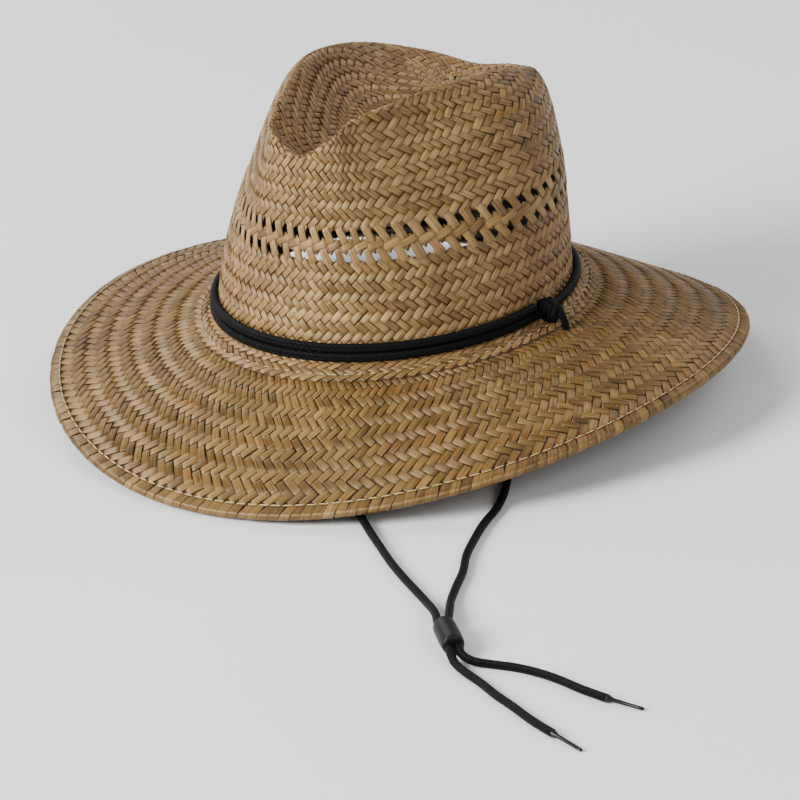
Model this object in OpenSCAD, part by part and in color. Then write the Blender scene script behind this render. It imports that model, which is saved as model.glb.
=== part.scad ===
// Straw sun hat with a pinch-front crown, an open vent band, a drooping brim and a chin cord.
// Millimetres, +Z up, front of the hat towards -Y, wearer's left towards +X.
// The hat stands on the lowest points of its brim, at the front and the back, on z = 0.
// Angles go round the hat from 0 at the front, through 90 on the wearer's left, to 180 at the back.

/* [Crown] */
// Half the outside width of the crown at its foot
crown_half_width = 88; // [82:1:92]
// Half the outside length of the crown at its foot
crown_half_length = 100; // [94:1:104]
// Height of the crown's foot line above the standing surface
foot_z = 53; // [50:1:60]
// Thickness of the woven straw
straw = 1.4; // [1:0.1:2]
// How far the crown's foot flares out over the brim
flange_reach = 13; // [9:1:16]

/* [Vents] */
// Number of open holes in each of the two vent rows
vent_count = 60; // [40:1:60]
// Share of the pitch that each hole takes
vent_share = 0.66; // [0.4:0.02:0.7]
// Height of the lower vent row above the foot line
vent_low = 51.5; // [48:0.5:54]
// Height from the lower vent row to the upper one
vent_rise = 10.5; // [9:0.5:12]
// Height of each hole
vent_height = 4.6; // [3:0.2:5]

/* [Brim] */
// Half the width of the brim
brim_half_width = 180; // [170:1:185]
// Half the length of the brim
brim_half_length = 188; // [175:1:192]
// How much higher the brim's sides stand than its front and back
side_lift = 26.8; // [20:0.2:30]
// Width of the folded hem
hem_w = 9; // [7:1:11]
// Thickness of the hem at its fold
hem_thick = 4; // [3.8:0.1:4.4]
// Diameter of the wire in the hem
wire_d = 1; // [0.8:0.1:1.1]

/* [Cords] */
// Diameter of the braided cord
cord_d = 4.2; // [4:0.1:4.4]
// Length of the cord slider
slider_len = 24; // [22:1:26]
// Diameter of the cord slider at its middle
slider_d = 11.5; // [11.2:0.1:12]
// Length of each stiff cord tip
tip_len = 20; // [16:1:24]
// Diameter of each stiff cord tip
tip_d = 1.8; // [1.6:0.1:2]

/* [Trim] */
// Height of the sweatband
sweatband_h = 30; // [26:1:34]
// Diameter of the sewing thread
thread_d = 0.8; // [0.6:0.1:0.9]

/* [Hidden] */

straw_colour = [0.70, 0.57, 0.40];
brim_colour = [0.62, 0.46, 0.27];
thread_colour = [0.86, 0.79, 0.58];
cord_colour = [0.07, 0.07, 0.07];
band_colour = [0.12, 0.11, 0.11];

// ---- small helpers ----
function unit(v) = v / norm(v);
function smooth(x) = let (c = min(1, max(0, x))) c * c * (3 - 2 * c);
function mix(p, q, w) = p * (1 - w) + q * w;
// An angle's distance from the front, 0 to 180, and the side that it is on.
function turned(a) = (a % 360 + 360) % 360;
function from_front(a) = let (m = turned(a)) m > 180 ? 360 - m : m;
function side_of(a) = turned(a) > 180 ? -1 : 1;

// One closed skin from a grid of points that wraps both ways, such as a ring or a shell.
module wrapped_skin(grid) {
    rows = len(grid);
    cols = len(grid[0]);
    polyhedron(points = [for (row = grid) for (p = row) p],
               faces = [for (i = [0 : rows - 1]) for (j = [0 : cols - 1])
                   let (i2 = (i + 1) % rows, j2 = (j + 1) % cols)
                   for (f = [[i * cols + j, i * cols + j2, i2 * cols + j2],
                             [i * cols + j, i2 * cols + j2, i2 * cols + j]]) f]);
}

// One closed skin from rings of points that are joined end to end and capped.
module capped_skin(rings) {
    n = len(rings[0]);
    last = (len(rings) - 1) * n;
    polyhedron(points = [for (ring = rings) for (p = ring) p],
               faces = concat([[for (j = [0 : n - 1]) j]],
                   [for (i = [0 : len(rings) - 2]) for (j = [0 : n - 1])
                       let (k = (j + 1) % n)
                       for (f = [[i * n + j, (i + 1) * n + j, (i + 1) * n + k],
                                 [i * n + j, (i + 1) * n + k, i * n + k]]) f],
                   [[for (j = [n - 1 : -1 : 0]) last + j]]));
}

// ---- crown surface ----
// The ridge round the top of the crown: its front lip is low, its two peaks stand behind the lip.
// Half the ridge, every 20 degrees from the front: x, y and height above the foot line.
ridge = [[0, -78, 101], [18, -74, 111], [24, -60, 119], [35, -33, 122], [42, -13, 123],
         [46, 9, 121], [45, 35, 116], [46, 65, 107], [24, 79, 101], [0, 84, 96]];
ridge_step = 20;
// Height of the dent's floor above the foot line, and the stretch of Y that the floor line takes
dent_floor = 94;
dent_front = -60;
dent_back = 50;
// The height up to which the weave's rows stay level, above the foot line
level_top = 70;

function mirrored(p) = [-p[0], p[1], p[2]];
function ridge_knot(k) = k < 0 ? mirrored(ridge[-k]) : k > 9 ? mirrored(ridge[18 - k]) : ridge[k];
function spline(p0, p1, p2, p3, t) =
    0.5 * (2 * p1 + (p2 - p0) * t + (2 * p0 - 5 * p1 + 4 * p2 - p3) * t * t
           + (3 * p1 - p0 - 3 * p2 + p3) * t * t * t);
function half_ridge(m) =
    let (k = min(8, floor(m / ridge_step)))
    spline(ridge_knot(k - 1), ridge_knot(k), ridge_knot(k + 1), ridge_knot(k + 2), m / ridge_step - k);
function ridge_at(a) = let (p = half_ridge(from_front(a))) [p[0] * side_of(a), p[1], p[2]];

function foot_at(a) = [crown_half_width * sin(a), -crown_half_length * cos(a), 0];
function outward(a) = unit([crown_half_length * sin(a), -crown_half_width * cos(a), 0]);

// The wall is a cubic curve from the foot to the ridge at each angle. It leans in at the front
// and is pinched there; it stands up straight and turns over roundly at the back.
function wall_lean(m) = 0.88 + 0.12 * smooth((m - 15) / 60);
function wall_full(m) = 0.12 + 0.88 * smooth((m - 55) / 60);
function wall_rise(m) = 0.76 + 0.24 * smooth((m - 70) / 55);
function wall_low(a) = let (r = ridge_at(a), f = foot_at(a) * wall_lean(from_front(a))) [f[0], f[1], 0.45 * r[2]];
function wall_high(a) =
    let (m = from_front(a), r = ridge_at(a), f = foot_at(a), k = wall_full(m))
    [r[0] + (f[0] - r[0]) * k, r[1] + (f[1] - r[1]) * k, r[2] * wall_rise(m)];
function cubic(p0, p1, p2, p3, t) =
    let (u = 1 - t) u * u * u * p0 + 3 * t * u * u * p1 + 3 * t * t * u * p2 + t * t * t * p3;
function wall_at(a, t) = cubic(foot_at(a), wall_low(a), wall_high(a), ridge_at(a), t);
function wall_z(a, t) = cubic(0, wall_low(a)[2], wall_high(a)[2], ridge_at(a)[2], t);
// The curve's parameter at a height, by halving.
function wall_t(a, z, lo = 0, hi = 1, n = 14) =
    let (mid = (lo + hi) / 2)
    n == 0 ? mid : wall_z(a, mid) < z ? wall_t(a, z, mid, hi, n - 1) : wall_t(a, z, lo, mid, n - 1);

function dent_at(a, w) =
    let (r = ridge_at(a), y = min(dent_back, max(dent_front, 0.8 * r[1])))
    [r[0] * (1 - w), mix(r[1], y, w), dent_floor + (r[2] - dent_floor) * pow(1 - w, 1.8)];

// Outside of the crown. v is 0 at the flange's edge, 1 at the top of its fillet, 2 on the level
// row level_top, 3 on the ridge and 4 on the dent's floor line.
fillet_top = 4;
function flange_at(a, v) =
    let (top = wall_at(a, wall_t(a, fillet_top)), d = brim_top(a, flange_reach),
         low = [top[0], top[1], brim_top(a, 0)[2] + straw - foot_z + 0.2],
         edge = [d[0], d[1], d[2] + straw - foot_z + 0.2], u = 1 - v)
    u * u * edge + 2 * u * v * low + v * v * top;
function crown_at(a, v) =
    let (p = v < 1 ? flange_at(a, v)
           : v < 2 ? wall_at(a, wall_t(a, mix(fillet_top, level_top, v - 1)))
           : v < 3 ? (let (t = wall_t(a, level_top)) wall_at(a, mix(t, 1, v - 2)))
           : dent_at(a, v - 3))
    [p[0], p[1], p[2] + foot_z];
// Which way the crown faces. In the dent the thickness is laid off straight down.
function wall_normal(a, v) =
    let (da = 1.5, dv = 0.03, v1 = max(0, v - dv), v2 = min(3.5, v + dv))
    unit(cross(crown_at(a + da, v) - crown_at(a - da, v), crown_at(a, v2) - crown_at(a, v1)));
function crown_normal(a, v) =
    v > 3.2 ? [0, 0, 1] : unit(mix(wall_normal(a, v), [0, 0, 1], smooth((v - 2.9) / 0.3)));
function crown_inside(a, v) = crown_at(a, v) - straw * crown_normal(a, v);
function level_v(z) = 1 + (z - fillet_top) / (level_top - fillet_top);

vent_half = vent_height / 2;
vent_high = vent_low + vent_rise;
vent_rows = [level_v(vent_low - vent_half), level_v(vent_high - vent_half)];
crown_rows = [0, 0.5, 1, level_v(26),
              level_v(vent_low - vent_half), level_v(vent_low + vent_half),
              level_v(vent_high - vent_half), level_v(vent_high + vent_half),
              2.3, 2.6, 2.85, 3, 3.2, 3.5, 3.94];
crown_angles = [for (k = [0 : vent_count - 1]) for (s = [-0.5, 0.5]) (k + s * vent_share) * 360 / vent_count];

// ---- brim surface ----
// Top of the brim at an angle, d millimetres out from the crown's foot.
brim_join_z = foot_z - 2;
brim_fall = 1.15;
function brim_edge(a) =
    [brim_half_width * sin(a), -brim_half_length * cos(a), hem_thick + side_lift * sin(a) * sin(a)];
function brim_share(a, s) =
    let (f = foot_at(a), e = brim_edge(a))
    [mix(f[0], e[0], s), mix(f[1], e[1], s), brim_join_z - (brim_join_z - e[2]) * pow(max(0, s), brim_fall)];
function brim_width(a) = let (f = foot_at(a), e = brim_edge(a)) norm([e[0] - f[0], e[1] - f[1]]);
function brim_top(a, d) = brim_share(a, d / brim_width(a));
function lowered(p, dz) = [p[0], p[1], p[2] - dz];

brim_steps = [0.0, 0.16, 0.34, 0.52, 0.7, 0.86];
brim_cols = 60;
round_angles = [for (k = [0 : brim_cols - 1]) k * 360 / brim_cols];

// The brim's section at one angle: out along the top, round the fold and back under it for the
// hem's width, in along the pocket that holds the wire, and back along the underside.
function brim_section(a) =
    let (w = brim_width(a), hem = w - hem_w, fold = straw * 0.86, slot = hem_thick - 2 * fold)
    concat([for (s = brim_steps) brim_share(a, s)],
           [brim_top(a, hem), brim_top(a, w - 1.2), lowered(brim_top(a, w), 0.5),
            lowered(brim_top(a, w), hem_thick - 0.5), lowered(brim_top(a, w - 1.2), hem_thick),
            lowered(brim_top(a, w - 4), hem_thick - 0.4), lowered(brim_top(a, hem), 2 * fold + 0.1),
            lowered(brim_top(a, hem), fold + 0.1), lowered(brim_top(a, w - 4), fold + 0.4),
            lowered(brim_top(a, w - 2.9), fold + slot), lowered(brim_top(a, w - 1.4), fold + slot - 0.1),
            lowered(brim_top(a, w - 1.4), fold), lowered(brim_top(a, w - 3), fold)],
           [lowered(brim_top(a, hem - 1), fold)],
           [for (i = [len(brim_steps) - 2 : -1 : 0]) lowered(brim_share(a, brim_steps[i]), fold)]);

// ---- rings and tubes ----
// A closed round tube through a list of points, with its own number of sides.
function ring_normal(pts, i) =
    let (n = len(pts), t = unit(pts[(i + 1) % n] - pts[(i + n - 1) % n])) unit(cross([0, 0, 1], t));
function ring_up(pts, i) =
    let (n = len(pts), t = unit(pts[(i + 1) % n] - pts[(i + n - 1) % n])) cross(t, ring_normal(pts, i));
module closed_tube(pts, w, h, sides) {
    wrapped_skin([for (i = [0 : len(pts) - 1])
        [for (k = [0 : sides - 1]) let (b = (k + 0.5) * 360 / sides)
            pts[i] + ring_normal(pts, i) * w / 2 * cos(b) + ring_up(pts, i) * h / 2 * sin(b)]]);
}

// Frames carried along an open route without twist, and the tube swept on them.
function route_dir(r, i) = unit(r[min(len(r) - 1, i + 1)] - r[max(0, i - 1)]);
function carried(r, i, prev) = let (t = route_dir(r, i)) unit(prev - (prev * t) * t);
function side_dirs(r, i = 0, done = []) =
    i == len(r) ? done
    : side_dirs(r, i + 1, concat(done, [carried(r, i, i == 0 ? [1, 0.3, 0.1] : done[i - 1])]));
module open_tube(r, d, sides) {
    dirs = side_dirs(r);
    capped_skin([for (i = [0 : len(r) - 1]) let (u = dirs[i], v = cross(route_dir(r, i), u))
        [for (k = [0 : sides - 1]) r[i] + d / 2 * (u * cos(k * 360 / sides) + v * sin(k * 360 / sides))]]);
}

// ---- chin cord routes ----
// Each strand drops from the hole beside the crown to the standing surface, lies in slack curves
// out under the brim and goes through the slider. Each tail lies on from there.
floor_cord = 2.2;
route_left = [[104, 0, 46], [104, 0, 36], [103, 1, 25], [99, 4, 14], [92, 9, 6],
              [82, 14, floor_cord], [69, 17, floor_cord], [55, 16, floor_cord],
              [44, 9, floor_cord], [38, -3, floor_cord], [39, -17, floor_cord],
              [47, -28, floor_cord], [59, -37, floor_cord], [73, -44, floor_cord],
              [87, -51, floor_cord], [101, -60, floor_cord], [113, -73, floor_cord],
              [122, -88, floor_cord], [130, -104, floor_cord], [136, -120, floor_cord],
              [140, -137, floor_cord], [146, -155, floor_cord], [153, -173, floor_cord],
              [162, -190, floor_cord], [169, -207, floor_cord], [176, -222, 2.8], [184, -235, 4.8]];
route_right = [[-104, 0, 46], [-104, 0, 36], [-103, -2, 25], [-100, -6, 14], [-94, -13, 6],
               [-85, -22, floor_cord], [-73, -33, floor_cord], [-60, -45, floor_cord],
               [-46, -56, floor_cord], [-31, -66, floor_cord], [-16, -76, floor_cord],
               [-1, -88, floor_cord], [15, -99, floor_cord], [31, -112, floor_cord],
               [47, -126, floor_cord], [63, -141, floor_cord], [78, -155, floor_cord],
               [93, -169, floor_cord], [109, -183, floor_cord], [124, -196, floor_cord],
               [138, -207, floor_cord], [153, -218, floor_cord], [166, -228, 2.8],
               [179, -240, 4.8]];
tail_left = [[215, -272, 4.6], [222, -273, 2.8], [231, -271, floor_cord], [243, -269, floor_cord],
             [255, -269, floor_cord], [268, -271, floor_cord], [283, -275, floor_cord],
             [299, -278, floor_cord]];
tail_right = [[211, -275, 4.6], [216, -279, 2.8], [225, -284, floor_cord], [237, -290, floor_cord],
              [251, -298, floor_cord], [265, -305, floor_cord], [280, -313, floor_cord],
              [296, -320, floor_cord]];
// End of each stiff tip, where it touches the surface
tip_end_left = [319, -278, 1];
tip_end_right = [316, -327, 1];

// ---- slider ----
slider_at = [200, -260, 5.9];
// The slider's axis points away from the hat, to the wearer's left.
slider_turn = -45;
bore_offset = 2.5;
bore_d = cord_d + 0.3;
// A point in the slider: along its axis, and across it.
function in_slider(along, across) =
    slider_at + along * [cos(slider_turn), sin(slider_turn), 0]
              + across * [-sin(slider_turn), cos(slider_turn), 0];
strand_left = concat(route_left, [for (s = [-1, 0, 1]) in_slider(s * slider_len / 2, bore_offset)]);
strand_right = concat(route_right, [for (s = [-1, 0, 1]) in_slider(s * slider_len / 2, -bore_offset)]);

// ---- hat cord on the crown ----
cord_rise = 4.7;
low_cord_z = foot_z + 2.6;
cord_seat = cord_d / 2 + 0.4;
function cord_point(a, z) =
    let (p = wall_at(a, wall_t(a, z - foot_z)), n = outward(a)) [p[0], p[1], z] + cord_seat * n;
cord_cols = 60;
front_cols = 30;
front_span = 172;

// ================= pieces =================

module crown() {
    cols = len(crown_angles);
    rows = len(crown_rows);
    count = rows * cols;
    // A cell is open where a vent hole is: every other column, in the two vent rows.
    open = [for (i = [0 : rows - 2]) len([for (v = vent_rows) if (abs(crown_rows[i] - v) < 0.001) v]) > 0];
    function is_open(i, j) = i >= 0 && i < rows - 1 && open[i] && j % 2 == 0;
    function at(side, i, j) = side * count + i * cols + (j % cols);
    function quad(p, q, r, s) = [[p, q, r], [p, r, s]];
    outside = [for (v = crown_rows) for (a = crown_angles) crown_at(a, v)];
    inside = [for (v = crown_rows) for (a = crown_angles) crown_inside(a, v)];
    // The dent closes on its floor line: the two sides of its last row face each other.
    tip_out = [for (j = [1 : cols / 2 - 1])
        let (m = cols - j) quad(at(0, rows - 1, j), at(0, rows - 1, m + 1),
                                at(0, rows - 1, m), at(0, rows - 1, j + 1))];
    tip_in = [for (q = tip_out) [for (f = q) [f[2] + count, f[1] + count, f[0] + count]]];
    skins = [for (i = [0 : rows - 2]) for (j = [0 : cols - 1]) if (!is_open(i, j))
        concat(quad(at(0, i, j), at(0, i + 1, j), at(0, i + 1, j + 1), at(0, i, j + 1)),
               quad(at(1, i, j), at(1, i, j + 1), at(1, i + 1, j + 1), at(1, i + 1, j)))];
    rim = [for (j = [0 : cols - 1]) quad(at(0, 0, j), at(0, 0, j + 1), at(1, 0, j + 1), at(1, 0, j))];
    walls = [for (i = [0 : rows - 2]) for (j = [0 : cols - 1]) if (is_open(i, j))
        concat(quad(at(0, i, j + 1), at(0, i, j), at(1, i, j), at(1, i, j + 1)),
               quad(at(0, i + 1, j), at(0, i + 1, j + 1), at(1, i + 1, j + 1), at(1, i + 1, j)),
               quad(at(0, i, j), at(0, i + 1, j), at(1, i + 1, j), at(1, i, j)),
               quad(at(0, i + 1, j + 1), at(0, i, j + 1), at(1, i, j + 1), at(1, i + 1, j + 1)))];
    color(straw_colour)
        polyhedron(points = concat(outside, inside),
                   faces = [for (group = concat(skins, tip_out, tip_in, rim, walls)) for (f = group) f]);
}

module brim() {
    color(brim_colour) wrapped_skin([for (a = round_angles) brim_section(a)]);
}

module brim_wire() {
    color("silver")
        closed_tube([for (a = round_angles) lowered(brim_top(a, brim_width(a) - 2.1), hem_thick / 2)],
                    wire_d, wire_d, 6);
}

module edge_stitch() {
    color(thread_colour)
        closed_tube([for (a = round_angles) brim_top(a, brim_width(a) - 5) + [0, 0, thread_d / 2 + 0.1]],
                    thread_d, thread_d, 4);
}

module crown_stitch() {
    color(thread_colour)
        closed_tube([for (a = round_angles) crown_at(a, 0.24) + (thread_d / 2 + 0.1) * crown_normal(a, 0.24)],
                    thread_d, thread_d, 4);
}

// The band's two faces follow the inside of the crown's wall.
function band_point(a, z, gap) =
    let (v = level_v(z)) crown_at(a, v) - (straw + gap) * crown_normal(a, v);
sweatband_foot = fillet_top + 1;
module sweatband() {
    color(band_colour)
        wrapped_skin([for (a = round_angles)
            [for (s = [0 : 3]) band_point(a, sweatband_foot + s * sweatband_h / 3, 0.3),
             for (s = [3 : -1 : 0]) band_point(a, sweatband_foot + s * sweatband_h / 3, 1.3)]]);
}

module sweatband_stitch() {
    color(thread_colour)
        closed_tube([for (a = round_angles) band_point(a, sweatband_foot + 2, 1.5 + thread_d / 2)],
                    thread_d, thread_d, 4);
}

module hat_cord() {
    color(cord_colour)
        closed_tube([for (k = [0 : cord_cols - 1]) cord_point(k * 360 / cord_cols, low_cord_z)],
                    cord_d, cord_d, 8);
}

module front_cord() {
    color(cord_colour)
        open_tube([for (k = [0 : front_cols])
            cord_point((k / front_cols - 0.5) * front_span, low_cord_z + cord_rise)], cord_d, 8);
}

// The knot where the front cord and a strand are tied round the hat cord beside the ear,
// with the strand's neck going down through the weave.
knot_d = 11;
module ear_knot() {
    color(cord_colour) {
        translate([crown_half_width + 6.5, 0, foot_z + 6]) sphere(d = knot_d, $fn = 40);
        hull() {
            translate([crown_half_width + 10, 0, foot_z + 4]) sphere(d = cord_d, $fn = 24);
            translate([104, 0, foot_z]) sphere(d = cord_d, $fn = 24);
        }
        translate([104, 0, 46]) cylinder(d = cord_d, h = foot_z - 46, $fn = 32);
    }
}
module ear_knot_left() ear_knot();
module ear_knot_right() mirror([1, 0, 0]) ear_knot();

module chin_cord_left() color(cord_colour) open_tube(strand_left, cord_d, 8);
module chin_cord_right() color(cord_colour) open_tube(strand_right, cord_d, 8);

module cord_tail_left() {
    color(cord_colour) open_tube(concat([in_slider(slider_len / 2, bore_offset)], tail_left), cord_d, 8);
}
module cord_tail_right() {
    color(cord_colour) open_tube(concat([in_slider(slider_len / 2, -bore_offset)], tail_right), cord_d, 8);
}

// A stiff tip is a plain rod from the cord's end to the surface.
module cord_tip(from, to) {
    d = to - from;
    color([0.12, 0.12, 0.13])
        translate(from) rotate([0, acos(d[2] / norm(d)), atan2(d[1], d[0])])
            cylinder(d = tip_d, h = tip_len, $fn = 24);
}
module cord_tip_left() cord_tip(tail_left[len(tail_left) - 1], tip_end_left);
module cord_tip_right() cord_tip(tail_right[len(tail_right) - 1], tip_end_right);

// The slider is a barrel with a bore for each strand.
module slider() {
    end_d = slider_d - 1;
    edge = 1.2;
    color([0.06, 0.06, 0.06])
        translate(slider_at) rotate([0, 90, slider_turn]) difference() {
            translate([0, 0, -slider_len / 2])
                rotate_extrude($fn = 64)
                    polygon([[0, 0], [end_d / 2 - edge, 0], [end_d / 2, edge], [slider_d / 2, slider_len / 2],
                             [end_d / 2, slider_len - edge], [end_d / 2 - edge, slider_len], [0, slider_len]]);
            for (s = [-1, 1])
                translate([0, s * bore_offset, -slider_len])
                    cylinder(d = bore_d, h = 2 * slider_len, $fn = 48);
        }
}

crown();
brim();
brim_wire();
edge_stitch();
crown_stitch();
sweatband();
sweatband_stitch();
hat_cord();
front_cord();
ear_knot_left();
ear_knot_right();
chin_cord_left();
chin_cord_right();
cord_tail_left();
cord_tail_right();
cord_tip_left();
cord_tip_right();
slider();
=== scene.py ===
import math

import bpy
import numpy as np
from mathutils import Matrix, Vector


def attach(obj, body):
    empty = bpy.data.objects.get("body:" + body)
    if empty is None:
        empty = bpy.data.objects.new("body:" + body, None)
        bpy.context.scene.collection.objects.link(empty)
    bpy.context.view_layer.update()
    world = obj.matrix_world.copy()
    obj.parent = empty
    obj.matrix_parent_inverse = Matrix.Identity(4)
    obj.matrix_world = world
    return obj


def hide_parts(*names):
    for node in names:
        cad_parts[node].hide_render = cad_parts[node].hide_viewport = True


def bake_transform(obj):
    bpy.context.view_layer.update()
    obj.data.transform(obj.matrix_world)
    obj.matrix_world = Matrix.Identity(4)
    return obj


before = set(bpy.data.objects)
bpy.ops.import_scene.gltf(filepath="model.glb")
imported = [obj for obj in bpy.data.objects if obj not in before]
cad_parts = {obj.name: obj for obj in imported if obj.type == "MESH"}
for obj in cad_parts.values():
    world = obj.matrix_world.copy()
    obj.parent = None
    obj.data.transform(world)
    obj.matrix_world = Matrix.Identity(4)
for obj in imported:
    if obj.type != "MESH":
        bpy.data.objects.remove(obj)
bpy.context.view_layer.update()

# Straw sun hat: woven crown and brim, a stitched hem, a vent band, braided cords and a barrel slider.
# Shapes are worked out in millimetres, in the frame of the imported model, and stored in metres.
# Angles go round the hat in degrees from the front, through the wearer's left at 90.
MM = 0.001
draw = np.random.default_rng(11)

# ---------------------------------------------------------------- camera

CAMERA_AZIMUTH = math.radians(35.19)
CAMERA_ELEVATION = math.radians(21.63)
CAMERA_ROLL = math.radians(3.88)
CAMERA_DISTANCE = 3.0
CROWN_FOOT = Vector((0, 0, 0.053))
# The camera aims a little below and beside the crown's foot, as tangents of the two angles.
AIM_ACROSS, AIM_UP = -0.00064, -0.01935


def set_camera():
    """A long lens from the front and the wearer's left, rolled a little."""
    a, e = CAMERA_AZIMUTH, CAMERA_ELEVATION
    back = Vector((math.sin(a) * math.cos(e), -math.cos(a) * math.cos(e), math.sin(e)))
    right = Vector((math.cos(a), math.sin(a), 0))
    up = back.cross(right)
    c, s = math.cos(CAMERA_ROLL), math.sin(CAMERA_ROLL)
    aim = (-back + right * AIM_ACROSS + up * AIM_UP).normalized()
    across = c * right - s * up
    across = (across - across.dot(aim) * aim).normalized()
    data = bpy.data.cameras.new("camera")
    data.lens = 259.7
    data.sensor_width = 36
    data.clip_start, data.clip_end = 0.1, 60
    camera = bpy.data.objects.new("camera", data)
    bpy.context.scene.collection.objects.link(camera)
    turn = Matrix((across, (-aim).cross(across), -aim)).transposed().to_4x4()
    camera.matrix_world = Matrix.Translation(CROWN_FOOT + back * CAMERA_DISTANCE) @ turn
    bpy.context.scene.camera = camera


# ---------------------------------------------------------------- the hat's surfaces

CROWN_W, CROWN_L, FOOT_Z = 88.0, 100.0, 53.0
STRAW = 1.4
FLANGE_REACH, FILLET_TOP, LEVEL_TOP = 13.0, 4.0, 70.0
VENT_LOW, VENT_RISE, VENT_COUNT = 51.5, 10.5, 60
BRIM_W, BRIM_L, SIDE_LIFT = 180.0, 188.0, 26.8
HEM_W, HEM_THICK = 9.0, 4.0
DENT_FLOOR, DENT_FRONT, DENT_BACK = 94.0, -60.0, 50.0
# Half the ridge, every 20 degrees from the front: x, y and height above the foot line
RIDGE = np.array([[0, -78, 101], [18, -74, 111], [24, -60, 119], [35, -33, 122], [42, -13, 123],
                  [46, 9, 121], [45, 35, 116], [46, 65, 107], [24, 79, 101], [0, 84, 96]], float)
RIDGE_STEP = 20.0


def smooth(x):
    c = np.clip(x, 0, 1)
    return c * c * (3 - 2 * c)


def mix(p, q, w):
    return p * (1 - w) + q * w


def vec(x, y, z):
    return np.stack(np.broadcast_arrays(x, y, z), axis=-1).astype(float)


def unit(p):
    return p / np.maximum(np.linalg.norm(p, axis=-1, keepdims=True), 1e-12)


def from_front(a):
    m = np.mod(a, 360)
    return np.where(m > 180, 360 - m, m)


def side_of(a):
    return np.where(np.mod(a, 360) > 180, -1.0, 1.0)


def ridge_knot(k):
    mirrored = (k < 0) | (k > 9)
    p = RIDGE[np.where(k < 0, -k, np.where(k > 9, 18 - k, k))].copy()
    p[..., 0] = np.where(mirrored, -p[..., 0], p[..., 0])
    return p


def ridge_at(a):
    m = from_front(a)
    k = np.minimum(8, np.floor(m / RIDGE_STEP)).astype(int)
    t = (m / RIDGE_STEP - k)[..., None]
    p0, p1, p2, p3 = (ridge_knot(k + i) for i in (-1, 0, 1, 2))
    p = 0.5 * (2 * p1 + (p2 - p0) * t + (2 * p0 - 5 * p1 + 4 * p2 - p3) * t * t
               + (3 * p1 - p0 - 3 * p2 + p3) * t ** 3)
    p[..., 0] *= side_of(a)
    return p


def foot_at(a):
    r = np.radians(a)
    return vec(CROWN_W * np.sin(r), -CROWN_L * np.cos(r), 0)


def outward(a):
    r = np.radians(a)
    return unit(vec(CROWN_L * np.sin(r), -CROWN_W * np.cos(r), 0))


def wall_knots(a):
    """The four control points of the wall's curve, from the foot to the ridge."""
    m, r, f = from_front(a)[..., None], ridge_at(a), foot_at(a)
    low = f * (0.88 + 0.12 * smooth((m - 15) / 60))
    low[..., 2] = 0.45 * r[..., 2]
    high = mix(r, f, 0.12 + 0.88 * smooth((m - 55) / 60))
    high[..., 2] = r[..., 2] * (0.76 + 0.24 * smooth((m[..., 0] - 70) / 55))
    return f, low, high, r


def cubic(knots, t):
    p0, p1, p2, p3 = knots
    u = 1 - t
    return u ** 3 * p0 + 3 * t * u * u * p1 + 3 * t * t * u * p2 + t ** 3 * p3


def wall_share(knots, z):
    """The curve's parameter at a height, by halving."""
    heights = [k[..., 2] for k in knots]
    lo, hi = np.zeros_like(heights[0]), np.ones_like(heights[0])
    for _ in range(16):
        mid = (lo + hi) / 2
        below = cubic(heights, mid) < z
        lo, hi = np.where(below, mid, lo), np.where(below, hi, mid)
    return (lo + hi) / 2


def brim_width(a):
    r = np.radians(a)
    return np.hypot((BRIM_W - CROWN_W) * np.sin(r), (BRIM_L - CROWN_L) * np.cos(r))


def brim_top(a, d):
    """Top of the brim, d millimetres out from the crown's foot."""
    r, s, f = np.radians(a), d / brim_width(a), foot_at(a)
    edge_z = HEM_THICK + SIDE_LIFT * np.sin(r) ** 2
    edge = vec(BRIM_W * np.sin(r), -BRIM_L * np.cos(r), 0)
    p = mix(f, edge, s[..., None])
    top = FOOT_Z - 2
    p[..., 2] = top - (top - edge_z) * np.maximum(0, s) ** 1.15
    return p


def flange_at(a, v, wall_top):
    u, v = (1 - v)[..., None], v[..., None]
    edge = brim_top(a, np.full_like(a, FLANGE_REACH))
    low = wall_top.copy()
    low[..., 2] = brim_top(a, np.zeros_like(a))[..., 2]
    for p in (edge, low):
        p[..., 2] += STRAW - FOOT_Z + 0.2
    return u * u * edge + 2 * u * v * low + v * v * wall_top


def dent_at(a, w):
    r = ridge_at(a)
    y = np.clip(0.8 * r[..., 1], DENT_FRONT, DENT_BACK)
    drop = np.clip(1 - w, 0, 1) ** 1.8
    return vec(r[..., 0] * (1 - w), mix(r[..., 1], y, w), DENT_FLOOR + (r[..., 2] - DENT_FLOOR) * drop)


def crown_sharp(a, v):
    """The crown's outside. v is 0 at the flange's edge, 1 at the top of its fillet, 2 on the level row
    LEVEL_TOP, 3 on the ridge and 4 on the floor of the dent."""
    a, v = (np.array(x, float) for x in np.broadcast_arrays(a, v))
    knots = wall_knots(a)
    height = np.where(v < 1, FILLET_TOP, mix(FILLET_TOP, LEVEL_TOP, np.clip(v - 1, 0, 1)))
    t = wall_share(knots, height)
    t = np.where(v > 2, mix(t, 1, np.clip(v - 2, 0, 1)), t)
    p = cubic(knots, t[..., None])
    p = np.where((v < 1)[..., None], flange_at(a, v, p), p)
    p = np.where((v > 3)[..., None], dent_at(a, v - 3), p)
    p[..., 2] += FOOT_Z
    return p


RIDGE_ROUND = 0.13


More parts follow.
